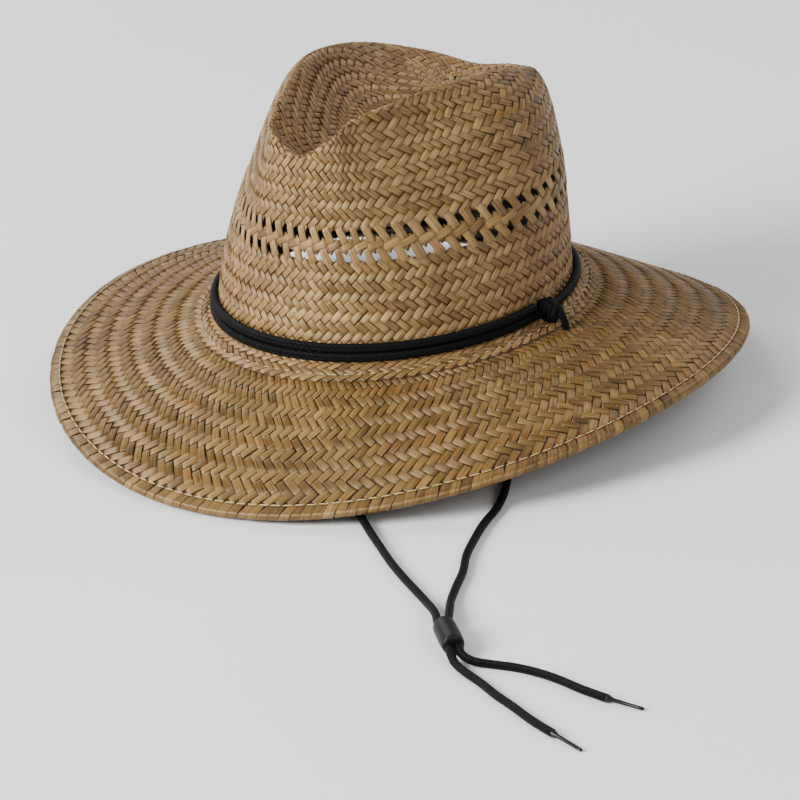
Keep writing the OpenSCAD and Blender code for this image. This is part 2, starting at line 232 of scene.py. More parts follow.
def crown_at(a, v):
    """The same with its ridge rounded over."""
    a, v = (np.array(x, float) for x in np.broadcast_arrays(a, v))
    p = crown_sharp(a, v)
    near = np.abs(v - 3) < RIDGE_ROUND
    if near.any():
        an, t = a[near], ((v[near] - 3 + RIDGE_ROUND) / (2 * RIDGE_ROUND))[..., None]
        wall, ridge, dent = (crown_sharp(an, np.full_like(an, 3 + x)) for x in (-RIDGE_ROUND, 0, RIDGE_ROUND))
        knee = 1.5 * ridge - 0.25 * (wall + dent)
        p[near] = (1 - t) ** 2 * wall + 2 * t * (1 - t) * knee + t * t * dent
    return p


def level_v(z):
    return 1 + (z - FILLET_TOP) / (LEVEL_TOP - FILLET_TOP)


def along_knots(y, ys, vs):
    """Runs through the knots in straight lines, and on past the ends."""
    v = np.interp(y, ys, vs)
    v = np.where(y < ys[0], vs[0] + (y - ys[0]) * (vs[1] - vs[0]) / (ys[1] - ys[0]), v)
    return np.where(y > ys[-1], vs[-1] + (y - ys[-1]) * (vs[-1] - vs[-2]) / (ys[-1] - ys[-2]), v)


# ---------------------------------------------------------------- weave patterns
# A pattern turns columns and rows of the weave into a place on the hat. Rows are numbered upwards or
# towards the crown, so that the outside of the hat is always on the same side.

CROWN_COLS, TOP_COLS, BRIM_COLS = 104, 88, 168
LOWER_KNOTS = ([0, 1, 2, 3, 4, 5, 14], [0, 0.15, 0.31, 0.5, 0.72, 1, level_v(48.6)])
TOP_FOOT, TOP_ROW, TOP_END = 65.4, 4.8, 3.95
LOWER_ROWS, TOP_ROWS = 14, 32
# The brim has room for one row more than it shows: the innermost lies under the crown's flange.
BRIM_ROWS = 13
HEM_LINE = 6.0
WEAVE_LIFT = 0.45
# The table of the top's rows: degrees from line to line, parts of a row, and how many rows it holds
TABLE_STEP, TABLE_PARTS, TABLE_ROWS = 3, 4, 40


def crown_pattern(x, y):
    return crown_at(360 * x / CROWN_COLS, along_knots(y, *LOWER_KNOTS))


def measure_top():
    """How far along v each row of the top has come."""
    a = np.arange(0, 360, TABLE_STEP, dtype=float)
    v = np.concatenate([np.linspace(level_v(TOP_FOOT), 3, 60), np.linspace(3, 4, 40)[1:]])
    points = crown_at(a[:, None], v[None, :])
    run = np.concatenate([np.zeros((len(a), 1)),
                          np.cumsum(np.linalg.norm(np.diff(points, axis=1), axis=-1), axis=1)], axis=1)
    rows = TOP_ROW * np.arange(0, TABLE_ROWS, 1 / TABLE_PARTS)
    return np.array([np.interp(rows, r, v) + np.maximum(0, rows - r[-1]) * 0.02 for r in run])


TOP_TABLE = measure_top()


def top_v(x, y):
    """The top's rows stay level up the wall and run over the ridge into the dent, as on a pressed hat."""
    a, q = np.mod(360 * x / TOP_COLS, 360) / TABLE_STEP, np.clip(y, 0, TABLE_ROWS - 0.3) * TABLE_PARTS
    i, j = np.floor(a).astype(int) % len(TOP_TABLE), np.floor(q).astype(int)
    s, t = a - np.floor(a), q - j
    k = (i + 1) % len(TOP_TABLE)
    v = ((TOP_TABLE[i, j] * (1 - s) + TOP_TABLE[k, j] * s) * (1 - t)
         + (TOP_TABLE[i, j + 1] * (1 - s) + TOP_TABLE[k, j + 1] * s) * t)
    return v + np.minimum(y, 0) * TOP_ROW / 52


def top_pattern(x, y):
    x, y = np.broadcast_arrays(np.asarray(x, float), np.asarray(y, float))
    return crown_at(360 * x / TOP_COLS, np.minimum(top_v(x, y), 3.985))


def band_pattern(x, z):
    """Columns are vents; heights are millimetres above the foot line."""
    return crown_at(360 * x / VENT_COUNT, level_v(z))


def brim_pattern(x, y):
    a = 360 * x / BRIM_COLS
    w = brim_width(a)
    return brim_top(a, w - HEM_LINE - y * (w - HEM_LINE - 4) / BRIM_ROWS)


RIM_COLS = 200


def rim_pattern(x, y):
    """Round the fold at the brim's edge. y is millimetres from the edge along the top, less than
    nothing round the fold and along the underside."""
    a = 360 * x / RIM_COLS
    w, r = brim_width(a), HEM_THICK / 2
    turn = np.clip((r - y) / r, 0, math.pi)
    under = np.maximum(0, r - math.pi * r - y)
    d = np.where(y > r, w - y, w - r + r * np.sin(turn) - under)
    p = brim_top(a, np.minimum(d, w - r))
    p += (np.maximum(0, d - (w - r)))[..., None] * outward(a)
    p[..., 2] -= np.where(y > r, 0, r - r * np.cos(turn)) - 0.14 * under
    return p


def on_pattern(pattern, x, y, height):
    """Points at a height over a pattern, with the outside's own direction."""
    e = 0.05
    across = pattern(x + e, y) - pattern(x - e, y)
    up = pattern(x, y + e) - pattern(x, y - e)
    normal = unit(np.cross(across, up))
    return pattern(x, y) + normal * height[..., None]


# ---------------------------------------------------------------- mesh tools

def deselect():
    bpy.ops.object.select_all(action="DESELECT")


def only(piece):
    deselect()
    piece.select_set(True)
    bpy.context.view_layer.objects.active = piece


def pick(piece, test):
    """Selects the vertices that pass the test, ready for edit mode."""
    only(piece)
    bpy.ops.object.mode_set(mode="EDIT")
    bpy.ops.mesh.select_mode(type="VERT")
    bpy.ops.mesh.select_all(action="DESELECT")
    bpy.ops.object.mode_set(mode="OBJECT")
    for v in piece.data.vertices:
        v.select = test(v.co)
    bpy.ops.object.mode_set(mode="EDIT")


def shift(piece, test, move):
    pick(piece, test)
    bpy.ops.transform.translate(value=move)
    bpy.ops.object.mode_set(mode="OBJECT")


def spread(piece, test, factor):
    pick(piece, test)
    bpy.ops.transform.resize(value=factor, center_override=(0, 0, 0))
    bpy.ops.object.mode_set(mode="OBJECT")


def edit_all(piece, step, **options):
    """Runs one edit mode step on the whole of a piece."""
    only(piece)
    bpy.ops.object.mode_set(mode="EDIT")
    bpy.ops.mesh.select_all(action="SELECT")
    step(**options)
    bpy.ops.object.mode_set(mode="OBJECT")


def outward_faces(piece):
    edit_all(piece, bpy.ops.mesh.normals_make_consistent, inside=False)


def ring_faces(rings, steps, closed):
    """The faces between rings of points, and from the last ring back to the first when closed."""
    return [[i * steps + j, i * steps + (j + 1) % steps, (i + 1) % rings * steps + (j + 1) % steps,
             (i + 1) % rings * steps + j]
            for i in range(rings if closed else rings - 1) for j in range(steps)]


def piece_from(name, points_mm, faces):
    """A new object from points in millimetres."""
    mesh = bpy.data.meshes.new(name)
    mesh.from_pydata((np.asarray(points_mm, float).reshape(-1, 3) * MM).tolist(), [], faces)
    mesh.update()
    mesh.shade_smooth()
    piece = bpy.data.objects.new(name, mesh)
    bpy.context.scene.collection.objects.link(piece)
    return piece


def point_value(piece, name, values):
    layer = piece.data.attributes.new(name, "FLOAT", "POINT")
    layer.data.foreach_set("value", np.asarray(values, np.float32).ravel())


def point_uv(piece, name, uv):
    """Stores one UV pair for each vertex on every corner that uses it."""
    layer = piece.data.uv_layers.new(name=name)
    corner = np.empty(len(piece.data.loops), np.int32)
    piece.data.loops.foreach_get("vertex_index", corner)
    layer.data.foreach_set("uv", np.asarray(uv, np.float32).reshape(-1, 2)[corner].ravel())


def take_template(piece):
    """The vertices and faces of a modelled strip, which is then put away."""
    points = np.array([v.co for v in piece.data.vertices])
    faces = [list(f.vertices) for f in piece.data.polygons]
    bpy.data.objects.remove(piece)
    return points, faces


def model_straw(cuts):
    """One flat strip of straw, 2 long and 2 wide, with rounded sides and ends that dip under."""
    deselect()
    bpy.ops.mesh.primitive_grid_add(x_subdivisions=cuts, y_subdivisions=3, size=2)
    straw = bpy.context.active_object
    spread(straw, lambda p: abs(p.y) < 0.9, (1, 2.45, 1))
    shift(straw, lambda p: abs(p.y) > 0.9, (0, 0, -0.3))
    if cuts == 5:
        spread(straw, lambda p: 0.5 < abs(p.x) < 0.9, (1.3, 1, 1))
        spread(straw, lambda p: abs(p.x) < 0.3, (2.1, 1, 1))
    shift(straw, lambda p: abs(p.x) > 0.7, (0, 0, -0.22))
    shift(straw, lambda p: abs(p.x) > 0.9, (0, 0, -0.6))
    pick(straw, lambda p: abs(p.x) > 0.95 or abs(p.y) > 0.95)
    bpy.ops.mesh.edge_face_add()
    bpy.ops.object.mode_set(mode="OBJECT")
    outward_faces(straw)
    return take_template(straw)


def model_thread():
    """One stitch, 2 long and 2 thick, that dives at both ends."""
    deselect()
    bpy.ops.mesh.primitive_uv_sphere_add(segments=6, ring_count=6, radius=1)
    thread = bpy.context.active_object
    edit_all(thread, bpy.ops.transform.rotate, value=math.pi / 2, orient_axis="Y", center_override=(0, 0, 0))
    shift(thread, lambda p: abs(p.x) > 0.95, (0, 0, -0.8))
    return take_template(thread)


def lay(name, template, pattern, at, along, across, lift, arch, tone, size):
    """Copies a strip to many places on a pattern. at, along and across are in pattern units, lift and
    arch in millimetres, and size is a strip's half length and half width in millimetres."""
    shape, faces = template
    s, t, h = shape[:, 0], shape[:, 1], shape[:, 2]
    x = at[:, :1] + along[:, :1] * s + across[:, :1] * t
    y = at[:, 1:] + along[:, 1:] * s + across[:, 1:] * t
    points = on_pattern(pattern, x, y, lift[:, None] + arch[:, None] * h)
    n, m = x.shape
    copies = [[i * m + k for k in f] for i in range(n) for f in faces]
    piece = piece_from(name, points, copies)
    home = draw.integers(0, 900, (n, 1))
    point_uv(piece, "strip", np.stack([s * size[0] / 10 + home, t * size[1] / 10 + 0.37 * home], axis=-1))
    point_value(piece, "tone", np.repeat(tone, m))
    # depth is how far each point dips below the strip's crest; the straw's colour darkens with it, painted
    # shade where its ends and sides go under its neighbours
    point_value(piece, "depth", np.tile(np.clip(-h, 0, 1.2), n))
    return piece


def weave(name, template, pattern, cols, rows, keep=None):
    """A two-over, two-under twill: each row of floats leans the other way and bites into the next."""
    half = math.sqrt(0.5)
    at, along, across, tone = [], [], [], []
    for k in range(rows):
        lean = 1 if k % 2 == 0 else -1
        x = np.arange(cols) + (0.25 if lean > 0 else 0.75) + draw.normal(0, 0.022, cols)
        y = np.full(cols, k + 0.5) + draw.normal(0, 0.022, cols)
        turn = draw.normal(0, 0.035, cols)
        long_half = half * (1.14 + draw.normal(0, 0.03, cols))
        wide_half = half / 2 * (0.97 + draw.normal(0, 0.035, cols))
        c, s = np.cos(np.radians(45) + turn), np.sin(np.radians(45) + turn)
        at.append(np.stack([x, y], axis=-1))
        along.append(np.stack([lean * c, s], axis=-1) * long_half[:, None])
        across.append(np.stack([-s, lean * c], axis=-1) * wide_half[:, None])
        # Floats leaning one way get a lighter mean tone than those leaning the other: painted sheen, on top
        # of each float's random tone.
        tone.append(np.clip(draw.normal(0.5 + 0.08 * lean, 0.13, cols), 0, 1))
    at, along, across, tone = (np.concatenate(q) for q in (at, along, across, tone))
    # Where columns crowd together, every second, fourth or eighth float does the work of its neighbours.
    room = np.linalg.norm(pattern(at[:, 0] + 0.5, at[:, 1]) - pattern(at[:, 0] - 0.5, at[:, 1]), axis=-1)
    group = 2 ** np.clip(np.round(np.log2(3.6 / np.maximum(room, 0.3))), 0, 3).astype(int)
    kept = np.floor(at[:, 0]).astype(int) % group == 0
    if keep:
        kept &= keep(at[:, 0], at[:, 1])
    at, along, across, tone, group = at[kept], along[kept], across[kept], tone[kept], group[kept]
    along[:, 0] *= group
    across[:, 0] *= group
    lifts = WEAVE_LIFT + draw.normal(0, 0.05, len(at))
    return lay(name, template, pattern, at, along, across, lifts, np.full(len(at), 1.0), tone, (5.2, 1.95))


def band_straws(name, template, x, z, lean, half_long, half_wide, lift, arch):
    """Straws of the vent band. lean is an angle in degrees, counted from level, one for them all."""
    pitch = 2 * math.pi * (CROWN_W + CROWN_L) / 2 * 0.95 / VENT_COUNT
    n = len(x)
    turn = np.radians(lean) + draw.normal(0, 0.06, n)
    long_half, wide_half = half_long * draw.normal(1, 0.03, n), half_wide * draw.normal(1, 0.06, n)
    at = np.stack([x + draw.normal(0, 0.025, n), z + draw.normal(0, 0.15, n)], axis=-1)
    along = np.stack([np.cos(turn) * long_half / pitch, np.sin(turn) * long_half], axis=-1)
    across = np.stack([-np.sin(turn) * wide_half / pitch, np.cos(turn) * wide_half], axis=-1)
    tone = np.clip(draw.normal(0.58, 0.16, n), 0, 1)
    return lay(name, template, band_pattern, at, along, across, lift + draw.normal(0, 0.05, n),
               np.full(n, arch), tone, (half_long, half_wide))


def backing(name, vs, depth, thick):
    """A thin sheet under the weave, round the crown, over a stretch of v."""
    steps = 180
    x, y = np.meshgrid(np.arange(steps) * 360 / steps, np.asarray(vs, float))
    points = on_pattern(crown_at, x, y, np.full_like(x, -depth))
    piece = piece_from(name, points, ring_faces(len(vs), steps, closed=False))
    edit_all(piece, bpy.ops.mesh.remove_doubles, threshold=0.0001)
    wall = piece.modifiers.new("thickness", "SOLIDIFY")
    wall.thickness = thick * MM
    wall.offset = -1
    bpy.ops.object.modifier_apply(modifier=wall.name)
    return piece


def join(name, pieces):
    deselect()
    for piece in pieces:
        piece.select_set(True)
    bpy.context.view_layer.objects.active = pieces[0]
    bpy.ops.object.join()
    pieces[0].name = name
    return pieces[0]


# ---------------------------------------------------------------- cords

CORD_D, HAT_CORD_D = 4.2, 4.7
CORD_STEP, CORD_SIDES = 1.4, 12


def resampled(points, step, closed):
    """A smooth line through the points, as evenly spaced points."""
    p = np.asarray(points, float)
    n = len(p)
    dense = []
    for i in range(n if closed else n - 1):
        q = [p[(i + k) % n] if closed else p[min(max(i + k, 0), n - 1)] for k in (-1, 0, 1, 2)]
        for t in np.arange(0, 1, 0.05):
            dense.append(0.5 * (2 * q[1] + (q[2] - q[0]) * t + (2 * q[0] - 5 * q[1] + 4 * q[2] - q[3]) * t * t
                                + (3 * q[1] - q[0] - 3 * q[2] + q[3]) * t ** 3))
    dense.append(p[0] if closed else p[-1])
    dense = np.array(dense)
    run = np.concatenate([[0], np.cumsum(np.linalg.norm(np.diff(dense, axis=0), axis=1))])
    count = max(4, int(round(run[-1] / step)))
    want = np.linspace(0, run[-1], count + 1)
    even = np.stack([np.interp(want, run, dense[:, k]) for k in range(3)], axis=1)
    return even[:-1] if closed else even


def cord_tube(name, points, d=CORD_D, closed=False):
    """A round cord along a line, with UVs once round and in centimetres along. Its ends are capped."""
    line, sides = resampled(points, CORD_STEP, closed), CORD_SIDES
    n = len(line)
    ahead = np.roll(line, -1, axis=0) - np.roll(line, 1, axis=0)
    if not closed:
        ahead[0], ahead[-1] = line[1] - line[0], line[-1] - line[-2]
    ahead = unit(ahead)
    if closed:
        sides_at = unit(np.cross(ahead, [0.0, 0.0, 1.0]))
    else:
        side, sides_at = unit(np.cross(ahead[0], [0.1, 0.2, 1.0])), []
        for t in ahead:
            side = unit(side - np.dot(side, t) * t)
            sides_at.append(side)
        sides_at = np.array(sides_at)
    ups = np.cross(ahead, sides_at)
    turn = np.arange(sides) * 2 * math.pi / sides
    swell = 1 + 0.012 * np.sin(np.arange(n) * 1.7)
    ring = sides_at[:, None] * np.cos(turn)[None, :, None] + ups[:, None] * np.sin(turn)[None, :, None]
    points_out = line[:, None] + ring * (d / 2 * swell)[:, None, None]
    faces = []
    for i in range(n if closed else n - 1):
        for j in range(sides):
            a, b, k = i * sides, ((i + 1) % n) * sides, (j + 1) % sides
            faces.append([a + j, a + k, b + k, b + j])
    if not closed:
        faces += [list(range(sides))[::-1], [(n - 1) * sides + j for j in range(sides)]]
    piece = piece_from(name, points_out, faces)
    outward_faces(piece)
    run = np.arange(n) * CORD_STEP / 10
    uv = np.stack(np.broadcast_arrays(np.arange(sides)[None] / sides, run[:, None]), axis=-1)
    point_uv(piece, "cord", uv)
    return piece, line * MM


# Routes of the chin cord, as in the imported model
FLOOR_CORD = 2.2


def on_floor(*points):
    return [(x, y, FLOOR_CORD) for x, y in points]


ROUTE_LEFT = ([(104, 0, 46), (104, 0, 36), (103, 1, 25), (99, 4, 14), (92, 9, 6)]
              + on_floor((82, 14), (69, 17), (55, 16), (44, 9), (38, -3), (39, -17), (47, -28), (59, -37),
                         (73, -44), (87, -51), (101, -60), (113, -73), (122, -88), (130, -104),
                         (136, -120), (140, -137), (146, -155), (153, -173), (162, -190), (169, -207))
              + [(176, -222, 2.8), (184, -235, 4.8)])
ROUTE_RIGHT = ([(-104, 0, 46), (-104, 0, 36), (-103, -2, 25), (-100, -6, 14), (-94, -13, 6)]
               + on_floor((-85, -22), (-73, -33), (-60, -45), (-46, -56), (-31, -66), (-16, -76),
                          (-1, -88), (15, -99), (31, -112), (47, -126), (63, -141), (78, -155), (93, -169),
                          (109, -183), (124, -196), (138, -207), (153, -218))
               + [(166, -228, 2.8), (179, -240, 4.8)])
TAIL_LEFT = ([(215, -272, 4.6), (222, -273, 2.8)]
             + on_floor((231, -271), (243, -269), (255, -269), (268, -271), (283, -275), (299, -278)))
TAIL_RIGHT = ([(211, -275, 4.6), (216, -279, 2.8)]
              + on_floor((225, -284), (237, -290), (251, -298), (265, -305), (280, -313), (296, -320)))
TIP_END_LEFT, TIP_END_RIGHT = (319, -278, 1), (316, -327, 1)
SLIDER_AT, SLIDER_TURN = (200, -260, 5.9), math.radians(-45)
SLIDER_LEN, SLIDER_D, BORE_OFFSET, BORE_D = 24.0, 11.5, 2.5, 4.5


def in_slider(along, across):
    c, s = math.cos(SLIDER_TURN), math.sin(SLIDER_TURN)
    x, y, z = SLIDER_AT
    return (x + along * c - across * s, y + along * s + across * c, z)


def make_chin_cord(side, route, tail, tip_end, bore):
    """One strand, its tail past the slider and the stiff tip on it."""
    strand_points = route + [in_slider(s * SLIDER_LEN / 2, bore) for s in (-1, 0, 1)]
    strand, line = cord_tube("chin_cord_braid_" + side, strand_points)
    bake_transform(strand)
    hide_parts("chin_cord_" + side)
    end, line = cord_tube("cord_tail_braid_" + side, [in_slider(SLIDER_LEN / 2, bore)] + tail)
    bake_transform(end)
    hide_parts("cord_tail_" + side)
    tip = make_tip("cord_tip_sleeve_" + side, tail[-1], tip_end)
    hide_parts("cord_tip_" + side)
    return [strand, end, tip]


def make_tip(name, start, end):
    """A stiff sleeve: a flared mouth round the cord's end, a thin rod and a rounded point."""
    start, end = Vector(start), Vector(end)
    length = (end - start).length
    deselect()
    bpy.ops.mesh.primitive_cylinder_add(vertices=16, radius=2.0, depth=0.6, end_fill_type="NGON")
    tip = bpy.context.active_object
    tip.name = name
    sections = [(1.6, 1.45), (1.6, 1.0), (length - 7.2, 0.9), (2.4, 0.88), (0.8, 0.55)]
    pick(tip, lambda p: p.z > 0.2)
    radius = 2.0
    for step, wide in sections:
        bpy.ops.mesh.extrude_region_move(TRANSFORM_OT_translate={"value": (0, 0, step)})
        bpy.ops.transform.resize(value=(wide / radius, wide / radius, 1))
        radius = wide
    bpy.ops.object.mode_set(mode="OBJECT")
    lay_down(tip, start, (end - start).to_track_quat("Z", "Y").to_matrix().to_4x4())
    return tip


def lay_down(piece, place_mm, turn):
    """Puts a piece modelled in millimetres at its place, in metres, with its object at the origin."""
    piece.matrix_world = Matrix.Identity(4)
    piece.data.transform(Matrix.Translation(Vector(place_mm) * MM) @ turn @ Matrix.Scale(MM, 4))
    piece.data.update()
    outward_faces(piece)
    piece.data.shade_smooth()


def make_slider():
    """A barrel with rounded shoulders and a bore for each strand."""
    deselect()
    bpy.ops.mesh.primitive_cylinder_add(vertices=48, radius=SLIDER_D / 2 - 0.35, depth=SLIDER_LEN)
    slider = bpy.context.active_object
    slider.name = "slider_barrel"
    for share in (-0.25, 0, 0.25):
        edit_all(slider, bpy.ops.mesh.bisect, plane_co=(0, 0, share * SLIDER_LEN), plane_no=(0, 0, 1))
    spread(slider, lambda p: abs(p.z) < 1, (1.065, 1.065, 1))
    spread(slider, lambda p: 1 < abs(p.z) < 10, (1.05, 1.05, 1))
    round_off = slider.modifiers.new("shoulders", "BEVEL")
    round_off.width, round_off.segments, round_off.limit_method = 1.7, 4, "ANGLE"
    round_off.angle_limit = math.radians(50)
    bpy.ops.object.modifier_apply(modifier=round_off.name)
    for side in (-1, 1):
        deselect()
        bpy.ops.mesh.primitive_cylinder_add(vertices=32, radius=BORE_D / 2, depth=2 * SLIDER_LEN,
                                            location=(0, side * BORE_OFFSET, 0))
        drill = bpy.context.active_object
        only(slider)
        cut = slider.modifiers.new("bore", "BOOLEAN")
        cut.operation, cut.object, cut.solver = "DIFFERENCE", drill, "EXACT"
        bpy.ops.object.modifier_apply(modifier=cut.name)
        bpy.data.objects.remove(drill)
    lay_down(slider, SLIDER_AT, Matrix.Rotation(SLIDER_TURN, 4, "Z") @ Matrix.Rotation(math.pi / 2, 4, "Y"))
    only(slider)
    bpy.ops.object.shade_smooth_by_angle(angle=math.radians(35))
    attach(slider, "slider")
    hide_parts("slider")
    return slider


LOW_CORD_Z, CORD_RISE = 2.6, 4.7
CORD_SEAT = CORD_D / 2 + 0.4


def cord_place(a, z):
    a = np.asarray(a, float)
    knots = wall_knots(a)
    p = cubic(knots, wall_share(knots, np.broadcast_to(z, a.shape))[..., None])
    return vec(p[..., 0], p[..., 1], np.broadcast_to(z, a.shape) + FOOT_Z) + CORD_SEAT * outward(a)


def make_hat_cords():
    """The cord round the crown's foot, and the chin cord's middle lying on it from ear to ear."""
    low, _ = cord_tube("hat_cord_braid", cord_place(np.arange(0, 360, 6), LOW_CORD_Z),
                       d=HAT_CORD_D, closed=True)
    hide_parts("hat_cord")
    front, _ = cord_tube("front_cord_braid", cord_place(np.linspace(-86, 86, 31), LOW_CORD_Z + CORD_RISE),
                         d=HAT_CORD_D)
    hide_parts("front_cord")
    return [low, front]


def make_ear_knot(side, sign):
    """Two turns round both cords, a turn round its own neck, and the neck down through the brim."""
    turns = [math.radians(100 - 36 * k) for k in range(17)]
    wrap = [(93.2 + 4.2 * math.cos(t), -4.2 + 0.38 * k, 56.9 + 4.6 * math.sin(t))
            for k, t in enumerate(turns)]
    neck = [(93, 2.6, 61.6), (97, 0.8, 60.2), (98.8, -3, 56.8), (98, -1.4, 53.3), (97.2, 2.8, 54.2),
            (98.8, 3.2, 57.6), (101, 0.4, 57.2), (103, 0, 53.8), (104, 0, 49.6), (104, 0, 46)]
    pieces = []
    for part, route in (("wrap", wrap), ("neck", neck)):
        mirrored = [(sign * x, y, z) for x, y, z in route]
        piece, _ = cord_tube("knot_" + part + "_" + side, mirrored, d=CORD_D * 0.95)
        pieces.append(piece)
    knot = join("ear_knot_cord_" + side, pieces)
    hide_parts("ear_knot_" + side)
    return knot


# ---------------------------------------------------------------- straw, cloth and thread pieces

def make_crown():
    straw = model_straw(5)
    low = np.concatenate([np.linspace(0, 1, 10), np.linspace(1.1, level_v(49), 8)])
    over = np.concatenate([np.linspace(level_v(64.6), 2.8, 20), np.linspace(2.83, 3.2, 12),
                           np.linspace(3.25, 4, 14)])
    sheets = [backing("lower_sheet", low, 0.55, 0.7),
              backing("vent_sheet", level_v(np.linspace(54.6, 58.9, 4)), 0.45, 0.6),
              backing("top_sheet", over, 0.55, 0.7)]
    shell = join("crown_backing", sheets)
    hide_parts("crown")
    weaves = [weave("crown_weave_lower", straw, crown_pattern, CROWN_COLS, LOWER_ROWS),
              weave("crown_weave_top", straw, top_pattern, TOP_COLS, TOP_ROWS,
                    keep=lambda x, y: top_v(x, y) < TOP_END)]
    return shell, weaves


def make_vent_band():
    """Two rows of crossed straws stand between the holes, with a plait between the rows."""
    straw = model_straw(5)
    vents = np.arange(VENT_COUNT, dtype=float)
    parts = []
    for height, slip in ((VENT_LOW, 0.38), (VENT_LOW + VENT_RISE, 0.62)):
        z = np.full(VENT_COUNT, height)
        parts.append(band_straws("under", straw, vents + slip, z, 66, 5.4, 1.55, 0.05, 0.6))
        parts.append(band_straws("over", straw, vents + slip, z, 114, 5.4, 2.45, 0.8, 1.5))
    middle = np.full(VENT_COUNT, VENT_LOW + VENT_RISE / 2)
    parts.append(band_straws("plait_under", straw, vents + 0.5, middle, 142, 5.4, 1.8, 0.35, 0.8))
    parts.append(band_straws("plait_over", straw, vents, middle, 20, 6.0, 1.9, 0.85, 1.1))
    return join("vent_band_straws", parts)


def make_brim():
    """The backing is one closed skin: the top, round the fold, the hem and the underside."""
    steps = 180
    a = np.arange(steps) * 360 / steps
    w = brim_width(a)
    section = []
    for share in np.linspace(0, 1, 26):
        section.append((share * (w - 2), 0.55))
    for turn in np.linspace(0, math.pi, 9)[1:-1]:
        section.append((w - 2 + 1.45 * math.sin(turn), 2 - 1.45 * math.cos(turn)))
    section += [(w - 2, 3.45), (w - 6, 3.0), (w - HEM_W, 2.5), (w - HEM_W, 1.35)]
    for share in np.linspace(0.94, 0, 24):
        section.append((share * (w - HEM_W), 1.3))
    rings = []
    for d, drop in section:
        p = brim_top(a, np.minimum(d, w - 2) + 0 * a)
        p += np.maximum(0, d - (w - 2))[:, None] * outward(a)
        p[:, 2] -= drop
        rings.append(p)
    shell = piece_from("brim_backing", np.array(rings), ring_faces(len(rings), steps, closed=True))
    outward_faces(shell)
    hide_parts("brim")
    floats = weave("brim_weave", model_straw(5), brim_pattern, BRIM_COLS, BRIM_ROWS - 1)
    return shell, floats


def make_rim():
    """Straws that wrap the brim's edge, over the fold and under it."""
    n = RIM_COLS
    at = np.stack([np.arange(n) + draw.normal(0, 0.05, n), np.full(n, -0.9)], axis=-1)
    slant = 0.55 + draw.normal(0, 0.12, n)
    along = np.stack([slant, draw.normal(7.3, 0.25, n)], axis=-1)
    across = np.stack([-0.5 * draw.normal(1, 0.05, n), 0.25 + 0 * slant], axis=-1)
    tone = np.clip(draw.normal(0.45, 0.15, n), 0, 1)
    return lay("brim_rim", model_straw(11), rim_pattern, at, along, across, 0.42 + draw.normal(0, 0.08, n),
               np.full(n, 0.75), tone, (8.0, 2.8))


def make_stitches(name, pattern, x, y, half_x, half_y, lift, thick):
    n = len(x)
    at = np.stack([x, y + draw.normal(0, 0.03, n)], axis=-1)
    along = np.stack([np.full(n, half_x), draw.normal(0, 0.05, n)], axis=-1)
    across = np.stack([np.zeros(n), np.full(n, half_y)], axis=-1)
    return lay(name, model_thread(), pattern, at, along, across, np.full(n, lift), np.full(n, thick),
               np.clip(draw.normal(0.5, 0.2, n), 0, 1), (3.0, 0.4))


def make_all_stitches():
    stitches = 176
    edge = make_stitches("edge_thread", rim_pattern, np.arange(stitches) * RIM_COLS / stitches,
                         np.full(stitches, 5.3), 0.5, 0.36, 0.62, 0.36)
    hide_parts("edge_stitch")
    stitches = 96
    flange = make_stitches("flange_thread", crown_pattern, np.arange(stitches) * CROWN_COLS / stitches,
                           np.full(stitches, 0.9), 0.24, 0.1, 0.6, 0.42)
    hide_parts("crown_stitch")
    band = make_stitches("band_thread", band_lining, np.arange(stitches) * VENT_COUNT / stitches,
                         np.full(stitches, FILLET_TOP + 3), 0.22, 0.35, -0.1, 0.4)
    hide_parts("sweatband_stitch")
    return [edge, flange, band]


BAND_FOOT, BAND_HEIGHT, BAND_DEPTH = FILLET_TOP + 1, 30.0, 1.35


def band_lining(x, z):
    """The sweatband's inner face, seen from the head: columns run the other way round."""
    x, z = np.broadcast_arrays(-np.asarray(x, float), np.asarray(z, float))
    return band_pattern(x, z) - outward(360 * x / VENT_COUNT) * (STRAW + BAND_DEPTH)


def make_sweatband():
    """Cloth folded over at its foot, sewn inside the crown."""
    steps = 144
    a = np.arange(steps) * 360 / steps
    profile = [(z, 0.35) for z in np.linspace(BAND_FOOT, BAND_FOOT + BAND_HEIGHT, 9)]
    profile += [(BAND_FOOT + BAND_HEIGHT + 0.4, 0.8)]
    profile += [(z, 1.25) for z in np.linspace(BAND_FOOT + BAND_HEIGHT, BAND_FOOT, 9)]
    profile += [(BAND_FOOT - 0.5, 0.8)]
    rings = []
    for z, gap in profile:
        pucker = 0.12 * np.sin(np.radians(a) * 36) * (z - BAND_FOOT) / BAND_HEIGHT
        rings.append(crown_at(a, level_v(z) + 0 * a) - outward(a) * (STRAW + gap + pucker)[:, None])
    band = piece_from("sweatband_cloth", np.array(rings), ring_faces(len(rings), steps, closed=True))
    outward_faces(band)
    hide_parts("sweatband")
    return band


# ---------------------------------------------------------------- materials

def new_material(name):
    material = bpy.data.materials.new(name)
    material.use_nodes = True
    tree = material.node_tree
    return material, tree, tree.nodes["Principled BSDF"]


def math_node(tree, operation, a, b, clamp=False):
    node = tree.nodes.new("ShaderNodeMath")
    node.operation, node.use_clamp = operation, clamp
    for socket, value in zip(node.inputs, (a, b)):
        if isinstance(value, (int, float)):
            socket.default_value = value
        else:
            tree.links.new(value, socket)
    return node.outputs[0]


def scaled(tree, vector, factors):
    node = tree.nodes.new("ShaderNodeVectorMath")
    node.operation = "MULTIPLY"
    tree.links.new(vector, node.inputs[0])
    node.inputs[1].default_value = factors
    return node.outputs[0]


def noise(tree, vector, scale, detail):
    node = tree.nodes.new("ShaderNodeTexNoise")
    node.inputs["Scale"].default_value = scale
    node.inputs["Detail"].default_value = detail
    tree.links.new(vector, node.inputs["Vector"])
    return node.outputs["Fac"]


